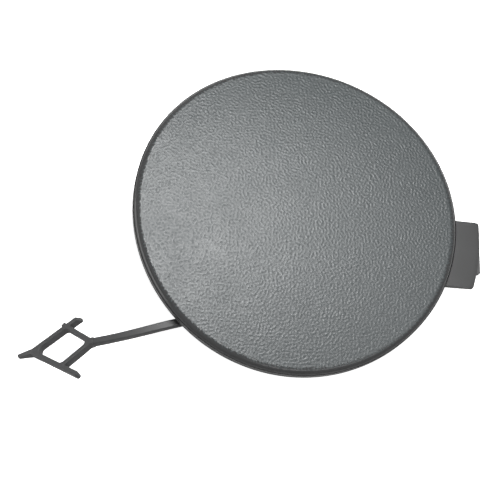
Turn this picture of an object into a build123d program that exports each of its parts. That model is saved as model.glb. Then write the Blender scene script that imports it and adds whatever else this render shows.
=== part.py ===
from build123d import *
import os
from math import atan2, cos, degrees, radians, sin, tan

os.makedirs("parts", exist_ok=True)

# Bumper tow hook cover, moulded in one piece: a round cap with a grained face, a locating ring,
# snap legs, a tongue, and a strap that ends in a barbed anchor.
# Millimetres. +Z points out of the bumper, +X along the tongue, +Y up the bumper.
# The origin is the middle of the panel's back, which seats in the bumper's recess.

# Panel
cap_radius = 40.0
skin_radius = 350.0          # the bumper's curve, about an axis along X
panel_thickness = 2.9
face_edge_radius = 1.8       # rounded in three flats that touch the round

# Locating ring
ring_radius = 33.0
ring_wall = 1.6
ring_depth = 9.0
ring_lead = 0.5              # chamfer that guides the ring into the hole

# Snap legs, which also carry the cap when it lies on its back
leg_angles = (60.0, 180.0, 300.0)
leg_width = 9.0
leg_wall = 1.9
leg_depth = 20.0
leg_slot = 1.6               # gap that frees each leg from the ring
leg_slot_root = 2.4          # how far behind the panel the gap starts
leg_tip_thickness = 1.3
leg_tip_setback = 2.2        # how far the tip stands inside the ring
catch_depth = 10.4           # from the panel's back to the catch
catch_slope = 0.9
barb_reach = 2.0
barb_land = 0.6
leg_rib_thickness = 1.4
leg_rib_length = 5.0
leg_rib_depth = 13.0

# Ribs behind the panel
hub_radius = 13.0
rib_thickness = 1.3
rib_depth = 4.2
rib_count = 6

# Tongue
tongue_radius = 47.6         # its end is an arc round the cap's middle
tongue_width = 17.4
tongue_offset = -5.2         # its middle line stands below the cap's middle
tongue_gap = 1.8             # slot behind the panel for the bumper's edge
tongue_thickness = 1.6
tongue_lead = 1.2
tongue_lead_depth = 0.5
tongue_corner_radius = 0.3
lip_width = 8.9
lip_wall = 2.0
lip_depth = 1.2
gusset_spacing = 10.5
gusset_thickness = 1.4
gusset_depth = 5.0
gusset_reach = 10.0

# Strap
strap_start = (-14.0, -25.0, -3.0)
strap_exit = (-26.94, -28.68, -3.0)
strap_middle = (-37.2, -31.85, -4.35)
strap_end = (-46.55, -33.60, -8.6)
strap_root_width = 6.0
strap_exit_width = 2.05
strap_end_width = 1.85
strap_thickness = 1.6
strap_root_share = 0.3       # the root's flare ends this far along the strap
strap_edge_chamfer = 0.3
strap_stations = 9

# Anchor
anchor_heading = 186.8       # degrees from +X, seen from the front
anchor_dip = 29.5
anchor_twist = 19.3
anchor_thickness = 2.0
stub_length = 0.6            # boss on the strap's end
shoulder_along = 7.15        # from the strap's end to the widest corners
shoulder_across = 5.55
point_along = 15.6           # where the two front bars meet
nose_along = 19.7
nose_root_along = 13.4
nose_root_width = 1.7
nose_tip_width = 0.7
nose_tip_radius = 0.3
nose_bevel_length = 4.4
nose_bevel_depth = 0.9
bar_width = 1.15
upper_barb_length = 4.1
upper_bevel_length = 1.25
upper_bevel_depth = 1.7
lower_barb_length = 5.6
spur_length = 1.25           # the upper back bar runs on past its barb
window_corner_radius = 1.1
blend_radius = 0.5
bar_end_radius = 0.45
anchor_edge_radius = 0.22

# Sizes that follow from these
skin_centre = panel_thickness - skin_radius
middle_skin_radius = skin_radius - panel_thickness / 2
rear_sag = skin_radius - (skin_radius**2 - cap_radius**2) ** 0.5
overrun = 1.0
tongue_top = -tongue_gap
tongue_bottom = tongue_top - tongue_thickness


def radial_plane(angle):
    """Upright plane through the Z axis: its x runs outwards at the angle, its y is +Z."""
    outwards = (cos(radians(angle)), sin(radians(angle)), 0)
    return Plane(origin=(0, 0, 0), x_dir=outwards, z_dir=(outwards[1], -outwards[0], 0))


# Panel: the disc that a straight cutter takes out of the curved bumper skin
with BuildPart() as panel:
    with BuildSketch(Plane.YZ):
        with Locations((0, skin_centre)):
            Circle(skin_radius)
            Circle(skin_radius - panel_thickness, mode=Mode.SUBTRACT)
    extrude(amount=cap_radius + overrun, both=True)
    with BuildSketch(Plane.XY.offset(-rear_sag - overrun)):
        Circle(cap_radius)
    extrude(amount=rear_sag + panel_thickness + 2 * overrun, mode=Mode.INTERSECT)
    for edge_count, turn in ((1, 90), (2, 45)):
        rim_edges = panel.edges().filter_by(GeomType.BSPLINE).sort_by(Axis.Z)[-edge_count:]
        chamfer(rim_edges, face_edge_radius * (tan(radians(turn / 2)) - tan(radians(turn / 4))))

# Back: ring, legs and ribs, drawn up into the panel and trimmed to its middle surface
with BuildPart() as back:
    with BuildSketch(Plane.XY.offset(-ring_depth)):
        Circle(ring_radius)
        Circle(ring_radius - ring_wall, mode=Mode.SUBTRACT)
    extrude(amount=ring_depth + panel_thickness)
    chamfer(back.edges().group_by(Axis.Z)[0].sort_by(SortBy.RADIUS)[-1], ring_lead)

    # Gaps either side of each leg
    with BuildSketch(Plane.XY.offset(-ring_depth)):
        for angle in leg_angles:
            with Locations(Rotation(0, 0, angle) * Location((ring_radius, 0, 0))):
                Rectangle(2 * (ring_wall + overrun), leg_width + 2 * leg_slot)
    extrude(amount=ring_depth - leg_slot_root - rear_sag, mode=Mode.SUBTRACT)

    for angle in leg_angles:
        leg_plane = radial_plane(angle)
        with BuildSketch(leg_plane):
            with BuildLine():
                Polyline(
                    (ring_radius - leg_wall, panel_thickness),
                    (ring_radius, panel_thickness),
                    (ring_radius, -catch_depth),
                    (ring_radius + barb_reach, -catch_depth - catch_slope),
                    (ring_radius + barb_reach, -catch_depth - catch_slope - barb_land),
                    (ring_radius - leg_tip_setback, -leg_depth),
                    (ring_radius - leg_tip_setback - leg_tip_thickness, -leg_depth),
                    (ring_radius - leg_wall, -catch_depth - catch_slope),
                    close=True,
                )
            make_face()
        extrude(amount=leg_width / 2, both=True)
        with BuildSketch(leg_plane):
            with BuildLine():
                Polyline(
                    (ring_radius - leg_wall / 2, panel_thickness),
                    (ring_radius - leg_wall - leg_rib_length, panel_thickness),
                    (ring_radius - leg_wall - leg_rib_length, -rib_depth),
                    (ring_radius - leg_wall / 2, -leg_rib_depth),
                    close=True,
                )
            make_face()
        extrude(amount=leg_rib_thickness / 2, both=True)

    with BuildSketch(Plane.XY.offset(-rib_depth)):
        Circle(hub_radius)
        Circle(hub_radius - rib_thickness, mode=Mode.SUBTRACT)
        rib_length = ring_radius - ring_wall / 2 - hub_radius + rib_thickness / 2
        with PolarLocations(hub_radius - rib_thickness / 2, rib_count):
            Rectangle(rib_length, rib_thickness, align=(Align.MIN, Align.CENTER))
    extrude(amount=rib_depth + panel_thickness)

    with BuildSketch(Plane.YZ):
        with Locations((0, skin_centre)):
            Circle(middle_skin_radius)
    extrude(amount=ring_radius + barb_reach + overrun, both=True, mode=Mode.INTERSECT)

# Tongue: a plate from the ring out past the rim, with a lip under its end and two gussets
with BuildPart() as tongue:
    with BuildSketch(Plane.XY.offset(tongue_bottom)):
        with Locations((0, tongue_offset)):
            Rectangle(tongue_radius, tongue_width, align=(Align.MIN, Align.CENTER))
        Circle(tongue_radius, mode=Mode.INTERSECT)
        Circle(ring_radius - ring_wall, mode=Mode.SUBTRACT)
    extrude(amount=tongue_thickness)
    end_edge = tongue.edges().group_by(Axis.Z)[-1].sort_by(Axis.X)[-1]
    top_face = tongue.faces().sort_by(Axis.Z)[-1]
    chamfer(end_edge, tongue_lead, tongue_lead_depth, reference=top_face)
    fillet(tongue.edges().filter_by(Axis.Z).sort_by(Axis.X)[-2:], tongue_corner_radius)

    with BuildSketch(Plane.XY.offset(tongue_bottom - lip_depth)):
        with Locations((tongue_radius, tongue_offset)):
            Rectangle(lip_wall, lip_width, align=(Align.MAX, Align.CENTER))
    extrude(amount=lip_depth + tongue_thickness / 2)

    for side in (-1, 1):
        rib_y = tongue_offset + side * gusset_spacing / 2
        with BuildSketch(Plane.XZ.offset(-rib_y)):
            with BuildLine():
                Polyline(
                    (ring_radius - ring_wall, tongue_bottom + tongue_thickness / 2),
                    (ring_radius + gusset_reach, tongue_bottom + tongue_thickness / 2),
                    (ring_radius + gusset_reach, tongue_bottom),
                    (ring_radius - ring_wall, tongue_bottom - gusset_depth),
                    close=True,
                )
            make_face()
        extrude(amount=gusset_thickness / 2, both=True)
    with BuildSketch(Plane.XY.offset(-ring_depth)):
        Circle(ring_radius - ring_wall)
    extrude(amount=ring_depth, mode=Mode.SUBTRACT)

# Strap: a ribbon that leaves the ring, passes under the rim and hangs down to the anchor
heading = radians(anchor_heading)
dip = radians(anchor_dip)
anchor_along = Vector(cos(dip) * cos(heading), cos(dip) * sin(heading), -sin(dip))
level_across = Vector(sin(heading), -cos(heading), 0)
anchor_across = level_across.rotate(Axis((0, 0, 0), anchor_along), anchor_twist)
anchor_plane = Plane(
    origin=strap_end,
    x_dir=anchor_along,
    z_dir=anchor_across.cross(anchor_along),
)

with BuildPart() as strap:
    with BuildLine(mode=Mode.PRIVATE) as route:
        Spline(
            strap_start,
            strap_exit,
            strap_middle,
            strap_end,
            tangents=(Vector(*strap_exit) - Vector(*strap_start), anchor_along),
        )
    for station in range(strap_stations):
        share = station / (strap_stations - 1)
        flare = max(0.0, 1 - share / strap_root_share) ** 2
        width = strap_exit_width + (strap_end_width - strap_exit_width) * share
        width += (strap_root_width - strap_exit_width) * flare
        forwards = route.line % share
        level = Vector(0, 0, 1).cross(forwards).normalized()
        across = level.rotate(Axis((0, 0, 0), forwards), anchor_twist * share**2)
        with BuildSketch(Plane(origin=route.line @ share, x_dir=across, z_dir=forwards)) as section:
            Rectangle(width, strap_thickness)
            chamfer(section.vertices(), strap_edge_chamfer)
    loft()
    with BuildSketch(Plane.XY.offset(-ring_depth)):
        Circle(ring_radius - ring_wall / 2)
    extrude(amount=ring_depth, mode=Mode.SUBTRACT)


def bar(start, end, width, run_on=0.0):
    """Straight bar between two points of the open sketch, run on past the second."""
    run = Vector(*end) - Vector(*start)
    with Locations(Location((start[0], start[1], 0), (0, 0, degrees(atan2(run.Y, run.X))))):
        Rectangle(run.length + run_on, width, align=(Align.MIN, Align.CENTER))


# Anchor: an open arrowhead whose sides run on as barbs, flexible enough to push through a slot.
# Its plane's x runs towards the nose, and its y downwards, so the upper barb is on the minus side.
upper_shoulder = Vector(shoulder_along, -shoulder_across)
lower_shoulder = Vector(shoulder_along, shoulder_across)
with BuildPart() as anchor:
    with BuildSketch(anchor_plane) as arrow:
        bar((point_along, 0), upper_shoulder, bar_width, upper_barb_length)
        bar((point_along, 0), lower_shoulder, bar_width, lower_barb_length)
        bar((0, 0), upper_shoulder, bar_width, spur_length)
        bar((0, 0), lower_shoulder, bar_width)
        bar((stub_length, 0), (-stub_length, 0), strap_end_width)
        with BuildLine():
            Polyline(
                (nose_root_along, nose_root_width / 2),
                (nose_along, nose_tip_width / 2),
                (nose_along, -nose_tip_width / 2),
                (nose_root_along, -nose_root_width / 2),
                close=True,
            )
        make_face()
        fillet(arrow.face().inner_wires()[0].vertices(), window_corner_radius)
        outline = arrow.face().outer_wire().vertices()
        nose_corners = outline.filter_by_position(Axis.X, point_along - bar_width, point_along + bar_width)
        strap_corners = outline.filter_by_position(Axis.X, 0, bar_width)
        fillet(nose_corners + strap_corners, blend_radius)
        fillet(arrow.vertices().group_by(Axis.X)[-1], nose_tip_radius)
        for side in (Axis.Y, -Axis.Y):
            fillet(arrow.vertices().sort_by(side)[-2:], bar_end_radius)
    extrude(amount=anchor_thickness / 2, both=True)
    fillet(anchor.faces().filter_by(anchor_plane).edges(), anchor_edge_radius)

    # Bevels on the front of the upper barb and the nose
    upper_run = (upper_shoulder - Vector(point_along, 0)).normalized()
    upper_tip = upper_shoulder + upper_run * upper_barb_length
    for tip, run, bevel_length, bevel_depth in (
        (upper_tip, upper_run, upper_bevel_length, upper_bevel_depth),
        (Vector(nose_along, 0), Vector(1, 0), nose_bevel_length, nose_bevel_depth),
    ):
        corner = anchor_plane.from_local_coords(tip + Vector(0, 0, anchor_thickness / 2))
        forwards = anchor_plane.x_dir * run.X + anchor_plane.y_dir * run.Y
        sideways = forwards.cross(anchor_plane.z_dir)
        with BuildSketch(Plane(origin=corner, x_dir=forwards, z_dir=sideways)):
            with BuildLine():
                Polyline((-bevel_length, 0), (0, 0), (0, -bevel_depth), close=True)
            make_face()
        extrude(amount=bar_width, both=True, mode=Mode.SUBTRACT)

# The whole moulding
with BuildPart() as tow_hook_cover:
    add(panel)
    add(back)
    add(tongue)
    add(strap)
    add(anchor)

tow_hook_cover.part.label = "tow_hook_cover"
export_step(tow_hook_cover.part, "parts/tow_hook_cover.step")
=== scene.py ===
import bpy
import numpy as np
from mathutils import Matrix, Vector


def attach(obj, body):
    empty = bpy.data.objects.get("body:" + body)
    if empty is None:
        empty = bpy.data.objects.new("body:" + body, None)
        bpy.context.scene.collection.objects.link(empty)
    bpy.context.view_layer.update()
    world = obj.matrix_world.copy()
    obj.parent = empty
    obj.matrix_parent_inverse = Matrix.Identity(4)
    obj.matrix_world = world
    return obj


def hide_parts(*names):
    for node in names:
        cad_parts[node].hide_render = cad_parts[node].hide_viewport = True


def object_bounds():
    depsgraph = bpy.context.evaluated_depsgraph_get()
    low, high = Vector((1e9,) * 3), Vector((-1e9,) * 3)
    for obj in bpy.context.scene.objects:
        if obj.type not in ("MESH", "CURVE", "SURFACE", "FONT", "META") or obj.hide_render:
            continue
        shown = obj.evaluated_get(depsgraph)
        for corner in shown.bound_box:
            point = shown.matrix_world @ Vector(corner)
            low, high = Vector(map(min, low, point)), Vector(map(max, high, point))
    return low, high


# Bumper tow hook cover: a round moulded cap with a grained face, a tongue, and a strap with a
# barbed anchor. Everything is in metres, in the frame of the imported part.
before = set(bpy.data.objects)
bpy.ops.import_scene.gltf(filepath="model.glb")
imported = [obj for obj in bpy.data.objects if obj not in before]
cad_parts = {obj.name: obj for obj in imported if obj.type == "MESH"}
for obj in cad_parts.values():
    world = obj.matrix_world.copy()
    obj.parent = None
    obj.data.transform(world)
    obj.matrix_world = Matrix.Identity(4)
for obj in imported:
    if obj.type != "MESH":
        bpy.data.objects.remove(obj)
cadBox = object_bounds()
mm = 0.001
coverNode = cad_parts["tow_hook_cover"]
print("frame loaded")


# Cap: the disc cut from the curved bumper skin, with a rounded front edge and a grained face

capValues = {
    "capRadius": 40.0 * mm,
    "skinRadius": 350.0 * mm,       # the bumper's curve, about an axis along X
    "thickness": 2.9 * mm,
    "frontRound": 1.8 * mm,
    "wallStop": 0.9 * mm,           # how far above the panel's back the new side wall ends
    "faceStep": 0.26 * mm,          # between the points of the grained face
    "borderGap": 0.6,               # what the face's points leave free inside the rim, in steps
    "rimPoints": 960,               # once round the rim
    "frontRows": 9,                 # over the rounded edge
    "backReach": 0.01 * mm,         # points this close to the panel's back belong to it
    "sharpAngle": 0.6,              # edges that turn by more, in radians, are shaded sharp
}

grainValues = {
    "pitch": 0.80 * mm,             # from one ridge to the next
    "spread": 0.26,                 # how much the pitch varies
    "depth": 0.048 * mm,            # from the ridges down to the valleys
    "steepness": 1.2,               # higher gives flatter ridges with narrower valleys
    "waves": 150,                   # how many are added up
    "seed": 7,
    "fieldCentre": 0.10 * mm,       # the grained field is a circle, a little to the tongue's side
    "fieldRadius": 38.62 * mm,
    "fieldFade": 0.30 * mm,         # width of its border
    "ragged": 0.80 * mm,            # how far its border follows the grain
}


def gridTriangles(grid):
    # two triangles for each cell of a grid of point numbers
    a, b = grid[:-1, :-1].ravel(), grid[1:, :-1].ravel()
    c, d = grid[1:, 1:].ravel(), grid[:-1, 1:].ravel()
    return np.concatenate([np.stack([a, b, c], 1), np.stack([a, c, d], 1)])


def latticeDisc(reach, step):
    # points and triangles of an even triangular lattice, as far as they lie inside a circle:
    # x = step (i - j / 2), y = step j sqrt(3) / 2
    rowHeight = step * np.sqrt(3) / 2
    count = int(reach / rowHeight) + 2
    i, j = np.mgrid[-count:count + 1, -count:count + 1]
    x, y = step * (i - j / 2).ravel(), rowHeight * j.ravel()
    triangles = gridTriangles(np.arange(i.size).reshape(i.shape))
    triangles = triangles[(np.hypot(x, y) < reach)[triangles].all(axis=1)]
    kept, numbers = np.unique(triangles, return_inverse=True)
    return x[kept], y[kept], numbers.reshape(-1, 3)


def zipTriangles(upper, upperAngle, lower, lowerAngle):
    # band between two rings of points, both anticlockwise: going round, each edge that comes up
    # on one ring makes a triangle with the point reached on the other
    def middles(angle):
        return (angle + np.append(angle[1:], angle[0] + 2 * np.pi)) / 2

    upperMiddle, lowerMiddle = middles(upperAngle), middles(lowerAngle)
    reachedLow = np.searchsorted(lowerMiddle, upperMiddle) % len(lower)
    reachedHigh = np.searchsorted(upperMiddle, lowerMiddle) % len(upper)
    fromUpper = np.stack([upper, lower[reachedLow], np.roll(upper, -1)], 1)
    fromLower = np.stack([lower, np.roll(lower, -1), upper[reachedHigh]], 1)
    return np.concatenate([fromUpper, fromLower])


def mergedTriangles(mesh):
    # a mesh of loose triangles as points that are each listed once, and triangles of their numbers
    points = np.empty(len(mesh.vertices) * 3, np.float32)
    mesh.vertices.foreach_get("co", points)
    corners = np.empty(len(mesh.loops), np.int32)
    mesh.loops.foreach_get("vertex_index", corners)
    points, numbers = np.unique(points.reshape(-1, 3), axis=0, return_inverse=True)
    return points.astype(float), numbers.reshape(-1)[corners].reshape(-1, 3)


def openRing(triangles, points):
    # the points of the one open edge loop, once round from -pi on, and their angles round Z
    sides = np.concatenate([triangles[:, [0, 1]], triangles[:, [1, 2]], triangles[:, [2, 0]]])
    reach = triangles.max() + 1
    codes = sides[:, 0] * reach + sides[:, 1]
    ring = sides[~np.isin(codes, sides[:, 1] * reach + sides[:, 0]), 0]
    angle = np.arctan2(points[ring, 1], points[ring, 0])
    order = np.argsort(angle)
    return ring[order], angle[order]


def grainRelief(x, y, v):
    # sum of plane waves of about one pitch in all directions, with the tops flattened:
    # 0.5 + 0.5 tanh(steepness times the sum of cos(wave number times distance + phase)), 0..1
    random = np.random.default_rng(v["seed"])
    turn = random.uniform(0, np.pi, v["waves"])
    wave = 2 * np.pi / v["pitch"] * (1 + v["spread"] * random.uniform(-1, 1, v["waves"]))
    phase = random.uniform(0, 2 * np.pi, v["waves"])
    total = np.zeros_like(x)
    for direction, number, start in zip(turn, wave, phase):
        total += np.cos(number * (x * np.cos(direction) + y * np.sin(direction)) + start)
    total *= np.sqrt(2 / v["waves"])
    return 0.5 + 0.5 * np.tanh(v["steepness"] * total)


def makeCap(v, grain):
    skinAxis = v["thickness"] - v["skinRadius"]
    ballRadius = v["skinRadius"] - v["frontRound"]
    angle = np.linspace(-np.pi, np.pi, v["rimPoints"], endpoint=False)
    ringX = (v["capRadius"] - v["frontRound"]) * np.cos(angle)
    ringY = (v["capRadius"] - v["frontRound"]) * np.sin(angle)

    # face: a lattice inside a ring of points where the rounded edge starts, laid on the skin,
    # z = skinAxis + sqrt(skinRadius^2 - y^2)
    reach = v["capRadius"] - v["frontRound"] - v["borderGap"] * v["faceStep"]
    x, y, lattice = latticeDisc(reach, v["faceStep"])
    inner = len(x)
    x, y = np.append(x, ringX), np.append(y, ringY) * v["skinRadius"] / ballRadius
    z = skinAxis + np.sqrt(v["skinRadius"]**2 - y**2)
    facePoints = np.stack([x, y, z], 1)
    faceOut = np.stack([0 * x, y, z - skinAxis], 1) / v["skinRadius"]
    border = zipTriangles(*openRing(lattice, facePoints), inner + np.arange(len(angle)), angle)

    # rounded edge: a ball rolled along inside the rim, its centre plus frontRound times a
    # direction that turns evenly from the skin's normal to straight outwards
    ringZ = skinAxis + np.sqrt(ballRadius**2 - ringY**2)
    centre = np.stack([ringX, ringY, ringZ], 1)
    outwards = np.stack([np.cos(angle), np.sin(angle), 0 * angle], 1)
    upwards = np.stack([0 * angle, ringY, ringZ - skinAxis], 1) / ballRadius
    spread = np.arccos(np.sum(outwards * upwards, 1))[:, None]
    share = np.arange(1, v["frontRows"] + 1)[:, None, None] / v["frontRows"]
    edgeOut = np.sin((1 - share) * spread) * upwards + np.sin(share * spread) * outwards
    edgeOut = edgeOut / np.sin(spread)
    edgePoints = centre + v["frontRound"] * edgeOut

    # side wall: one more ring straight down, that follows the skin's curve
    wallPoints = v["capRadius"] * outwards
    wallDrop = v["skinRadius"] - np.sqrt(v["skinRadius"]**2 - wallPoints[:, 1]**2)
    wallPoints[:, 2] = v["wallStop"] - wallDrop

    points = np.concatenate([facePoints, edgePoints.reshape(-1, 3), wallPoints])
    out = np.concatenate([faceOut, edgeOut.reshape(-1, 3), outwards])
    rings = inner + np.arange(len(angle) * (v["frontRows"] + 2)).reshape(-1, len(angle))
    rings = np.hstack([rings, rings[:, :1]])
    triangles = np.concatenate([lattice, border, gridTriangles(rings)])

    # grain: ridges at the skin, valleys pressed into it, up to the border of the grained field
    relief = grainRelief(points[:, 0], points[:, 1], grain)
    inside = grain["fieldRadius"] - np.hypot(points[:, 0] - grain["fieldCentre"], points[:, 1])
    inside = inside + grain["ragged"] * (relief - 0.5)
    inField = np.clip(0.5 + inside / grain["fieldFade"], 0, 1)
    mask = inField * inField * (3 - 2 * inField)
    points = points - out * (grain["depth"] * mask * (1 - relief))[:, None]
    return points, triangles, mask, relief, rings[-1, :-1], angle


def makeCover(v, grain):
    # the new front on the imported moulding's back, tongue, strap and anchor; the old front is all
    # that lies above the panel's back, height = distance from the skin's axis - backRadius
    front, frontTriangles, mask, relief, lastRing, lastAngle = makeCap(v, grain)
    points, triangles = mergedTriangles(coverNode.data)
    backRadius = v["skinRadius"] - v["thickness"]
    height = np.hypot(points[:, 1], points[:, 2] - v["thickness"] + v["skinRadius"]) - backRadius
    inFront = (height > v["backReach"])[triangles].all(axis=1)
    triangles = triangles[~inFront]
    kept, numbers = np.unique(triangles, return_inverse=True)
    points, triangles = points[kept], numbers.reshape(-1, 3)

    ring, ringAngle = openRing(triangles, points)
    band = zipTriangles(lastRing, lastAngle, ring + len(front), ringAngle)
    allPoints = np.concatenate([front, points])
    allTriangles = np.concatenate([frontTriangles, triangles + len(front), band])
    # 1 in the grained field, 1 on the tops of its ridges, 1 on all that the new front leaves
    masks = {
        "grainMask": np.append(mask, np.zeros(len(points))),
        "grainHeight": np.append(relief, np.zeros(len(points))),
        "mattMask": np.append(np.zeros(len(front)), np.ones(len(points))),
    }
    return allPoints, allTriangles, masks


def meshFrom(name, points, triangles):
    # a mesh of triangles, filled from whole arrays
    mesh = bpy.data.meshes.new(name)
    mesh.vertices.add(len(points))
    mesh.vertices.foreach_set("co", points.astype(np.float32).ravel())
    mesh.loops.add(triangles.size)
    mesh.loops.foreach_set("vertex_index", triangles.astype(np.int32).ravel())
    mesh.polygons.add(len(triangles))
    mesh.polygons.foreach_set("loop_start", np.arange(0, triangles.size, 3, dtype=np.int32))
    mesh.update(calc_edges=True)
    mesh.validate()
    return mesh


coverPoints, coverTriangles, coverMasks = makeCover(capValues, grainValues)
coverMesh = meshFrom("coverMoulding", coverPoints, coverTriangles)
for name, values in coverMasks.items():
    coverMesh.attributes.new(name, "FLOAT", "POINT").data.foreach_set("value", values)
coverMesh.polygons.foreach_set("use_smooth", np.ones(len(coverTriangles), bool))
coverMesh.set_sharp_from_angle(angle=capValues["sharpAngle"])
cover = bpy.data.objects.new("cover_moulding", coverMesh)
bpy.context.scene.collection.objects.link(cover)
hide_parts("tow_hook_cover")
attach(cover, "root")
print("cover ready,", len(coverTriangles), "triangles")


# Camera: the photograph's viewing angle

cameraValues = {
    "place": (-58.25 * mm, -113.22 * mm, 272.01 * mm),
    "right": (0.98298, 0.0298, 0.18128),
    "up": (-0.09095, 0.9363, 0.33922),
    "lens": 88.65,                  # this and the sensor's width are millimetres
    "sensorWidth": 36.0,
    "nearest": 10.0 * mm,
}


def makeCamera(v):
    # up is kept, and right is squared to it
    up = Vector(v["up"]).normalized()
    right = Vector(v["right"])
    right = (right - up * right.dot(up)).normalized()
    back = right.cross(up)
    camera = bpy.data.objects.new("camera", bpy.data.cameras.new("camera"))
    turn = Matrix((right, up, back)).transposed().to_4x4()
    camera.matrix_world = Matrix.Translation(Vector(v["place"])) @ turn
    camera.data.sensor_width = v["sensorWidth"]
    camera.data.lens = v["lens"]
    camera.data.clip_start = v["nearest"]
    bpy.context.scene.collection.objects.link(camera)
    bpy.context.scene.camera = camera


makeCamera(cameraValues)
print("camera placed")


# Finish: dark grey moulded plastic, grained on the face, satin round the rim and matt elsewhere

plasticValues = {
    # the valley colour is painted shade: the grain's hollows are coloured darker than its ridges
    "ridgeColor": (0.058, 0.068, 0.070, 1),
    "valleyShadeColor": (0.035, 0.042, 0.044, 1),
    "rimColor": (0.052, 0.0525, 0.053, 1),
    "mattColor": (0.057, 0.0575, 0.058, 1),
    "mottleSize": 7.0 * mm,         # faint flow marks in the plastic
    "mottleDetail": 4.0,
    "mottleShare": 0.08,
    "ridgeRoughness": 0.34,         # the tops of the grain are a little polished
    "valleyRoughness": 0.46,
    "rimRoughness": 0.20,
    "mattRoughness": 0.52,
    "roughnessSpread": 0.05,
    "pebbleSize": 0.58 * mm,        # fine pebbles on the grain
    "pebbleDetail": 1.0,
    "pebbleDepth": 0.055 * mm,
    "pebbleLow": 0.35,              # the noise that counts as the foot of a pebble
    "pebbleHigh": 0.65,             # and as its top
    "pebbleShare": 0.5,             # how far pebbles, and not ridges, set the grain's painted shade
    "satinSize": 0.55 * mm,         # mould polish on the smooth surfaces
    "satinDetail": 2.0,
    "satinDepth": 0.0016 * mm,
}


def newMaterial(name):
    material = bpy.data.materials.new(name)
    material.use_nodes = True
    return material, material.node_tree, material.node_tree.nodes["Principled BSDF"]


def addNode(tree, kind, settings=None, **inputs):
    # a node with its settings, and its sockets joined to other sockets or given plain values;
    # a socket goes by its name, or by i and its number
    node = tree.nodes.new(kind)
    for setting, value in (settings or {}).items():
        setattr(node, setting, value)
    for label, value in inputs.items():
        socket = node.inputs[int(label[1:]) if label[1:].isdigit() else label]
        if isinstance(value, bpy.types.NodeSocket):
            tree.links.new(value, socket)
        else:
            socket.default_value = value
    return node


def noise(tree, place, size, detail):
    # noise with features of one size, about 0..1
    return addNode(tree, "ShaderNodeTexNoise", Vector=place, Scale=1 / size, Detail=detail).outputs["Fac"]


def mixed(tree, share, low, high):
    # colour between two others
    node = addNode(tree, "ShaderNodeMix", {"data_type": "RGBA"}, i0=share, i6=low, i7=high)
    return node.outputs[2]


def ranged(tree, share, low, high):
    # 0..1 made into low..high
    return addNode(tree, "ShaderNodeMapRange", i0=share, i3=low, i4=high).outputs[0]


def makePlastic(v):
    material, tree, shader = newMaterial("mouldedPlastic")
    place = tree.nodes.new("ShaderNodeTexCoord").outputs["Object"]
    mask = addNode(tree, "ShaderNodeAttribute", {"attribute_name": "grainMask"}).outputs["Fac"]
    height = addNode(tree, "ShaderNodeAttribute", {"attribute_name": "grainHeight"}).outputs["Fac"]
    matt = addNode(tree, "ShaderNodeAttribute", {"attribute_name": "mattMask"}).outputs["Fac"]
    mottle = noise(tree, place, v["mottleSize"], v["mottleDetail"])
    pebbles = noise(tree, place, v["pebbleSize"], v["pebbleDetail"])
    satin = noise(tree, place, v["satinSize"], v["satinDetail"])

    # colour: the grain with painted shade in its valleys and round the feet of its pebbles, rim and matt
    # parts, all with faint flow marks
    pebbleTops = addNode(tree, "ShaderNodeMapRange", i0=pebbles, i1=v["pebbleLow"], i2=v["pebbleHigh"])
    # shade follows the grain's height and pebble tops: it paints shade into the colour, and gives the polish
    # in the roughness
    shade = ranged(tree, v["pebbleShare"], height, pebbleTops.outputs[0])
    grained = mixed(tree, shade, v["valleyShadeColor"], v["ridgeColor"])
    smooth = mixed(tree, matt, v["rimColor"], v["mattColor"])
    plain = mixed(tree, mask, smooth, grained)
    tint = ranged(tree, mottle, 1 - v["mottleShare"], 1 + v["mottleShare"])
    marked = addNode(tree, "ShaderNodeVectorMath", {"operation": "SCALE"}, i0=plain, Scale=tint).outputs[0]
    tree.links.new(marked, shader.inputs["Base Color"])

    # roughness: polished ridges, dull valleys, satin rim, the rest matt
    grainedRoughness = ranged(tree, shade, v["valleyRoughness"], v["ridgeRoughness"])
    smoothRoughness = ranged(tree, matt, v["rimRoughness"], v["mattRoughness"])
    even = ranged(tree, mask, smoothRoughness, grainedRoughness)
    uneven = ranged(tree, mottle, -v["roughnessSpread"], v["roughnessSpread"])
    roughness = addNode(tree, "ShaderNodeMath", {"operation": "ADD"}, i0=even, i1=uneven).outputs[0]
    tree.links.new(roughness, shader.inputs["Roughness"])

    # bump: pebbles on the grain, a mould's fine polish on the rest; heights are in metres
    pebbleBump = addNode(tree, "ShaderNodeMath", {"operation": "MULTIPLY"}, i0=pebbles, i1=v["pebbleDepth"])
    satinBump = addNode(tree, "ShaderNodeMath", {"operation": "MULTIPLY"}, i0=satin, i1=v["satinDepth"])
    relief = ranged(tree, mask, satinBump.outputs[0], pebbleBump.outputs[0])
    bump = addNode(tree, "ShaderNodeBump", Distance=1.0, Height=relief)
    tree.links.new(bump.outputs["Normal"], shader.inputs["Normal"])
    return material


coverMesh.materials.append(makePlastic(plasticValues))
print("plastic ready")


# Floor: a plain white table

floorValues = {
    "reach": 3.0,
    "whiteness": 0.9,
    "glow": 0.9,                    # its own light, so that it shows hardly any shadow
    "whitenessFelt": 0.7,           # what the object gets from it
    "roughness": 0.6,
}


def cameraSees(tree):
    # 1 for what the camera looks at, 0 for what lights the object or is mirrored in it
    return tree.nodes.new("ShaderNodeLightPath").outputs["Is Camera Ray"]


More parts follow.
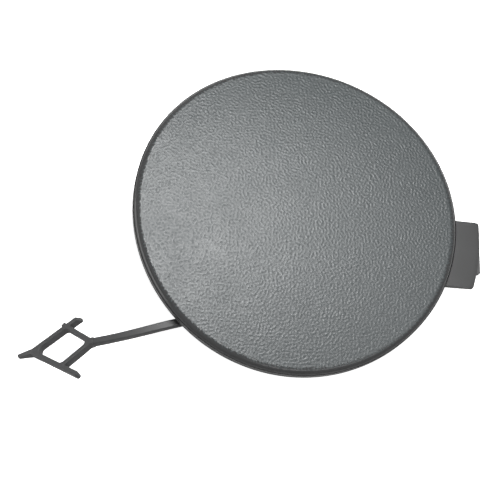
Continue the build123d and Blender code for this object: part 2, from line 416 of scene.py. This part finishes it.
def makeFloor(v, level):
    reach = v["reach"]
    mesh = bpy.data.meshes.new("floor")
    corners = [(-reach, -reach, level), (reach, -reach, level), (reach, reach, level), (-reach, reach, level)]
    mesh.from_pydata(corners, [], [(0, 1, 2, 3)])
    material, tree, shader = newMaterial("whiteTable")
    seen = cameraSees(tree)
    tree.links.new(ranged(tree, seen, v["whitenessFelt"], v["whiteness"]), shader.inputs["Base Color"])
    shader.inputs["Roughness"].default_value = v["roughness"]
    shader.inputs["Emission Color"].default_value = (1, 1, 1, 1)
    tree.links.new(ranged(tree, seen, 0.0, v["glow"]), shader.inputs["Emission Strength"])
    mesh.materials.append(material)
    floor = bpy.data.objects.new("floor", mesh)
    bpy.context.scene.collection.objects.link(floor)
    return floor


makeFloor(floorValues, cadBox[0].z)
print("floor ready")


# Lights: softboxes given by where they stand, seen from the object

lightValues = {
    "overheadBox": {"toward": (0.015, 0.30, 0.95), "distance": 0.45, "size": (0.12, 0.30), "watts": 2.5},
    "leftBox": {"toward": (-0.98, -0.10, 0.05), "distance": 0.8, "size": (0.8, 0.3), "watts": 2.2},
    "rightBox": {"toward": (0.47, 0.03, 0.88), "distance": 1.2, "size": (0.12, 0.12), "watts": 1.3},
    "frontBox": {"toward": (0.34, -0.52, 0.78), "distance": 1.0, "size": (0.8, 0.12), "watts": 1.2},
}


def makeSoftbox(name, v):
    # a rectangular light that faces the origin
    light = bpy.data.lights.new(name, "AREA")
    light.shape = "RECTANGLE"
    light.size, light.size_y = v["size"]
    light.energy = v["watts"]
    box = bpy.data.objects.new(name, light)
    toward = Vector(v["toward"]).normalized()
    turn = toward.to_track_quat("Z", "Y").to_matrix().to_4x4()
    box.matrix_world = Matrix.Translation(toward * v["distance"]) @ turn
    bpy.context.scene.collection.objects.link(box)


for name, values in lightValues.items():
    makeSoftbox(name, values)
print("lights placed")


# Room: dim all round, with a plain white backdrop behind the object

roomValues = {
    "dim": 0.15,
    "backdrop": 0.95,
}


def makeRoom(v):
    world = bpy.data.worlds.new("studio")
    world.use_nodes = True
    tree = world.node_tree
    strength = ranged(tree, cameraSees(tree), v["dim"], v["backdrop"])
    tree.nodes["Background"].inputs["Color"].default_value = (1, 1, 1, 1)
    tree.links.new(strength, tree.nodes["Background"].inputs["Strength"])
    return world


bpy.context.scene.world = makeRoom(roomValues)
bpy.context.scene.view_settings.view_transform = "Standard"
print("stage ready")
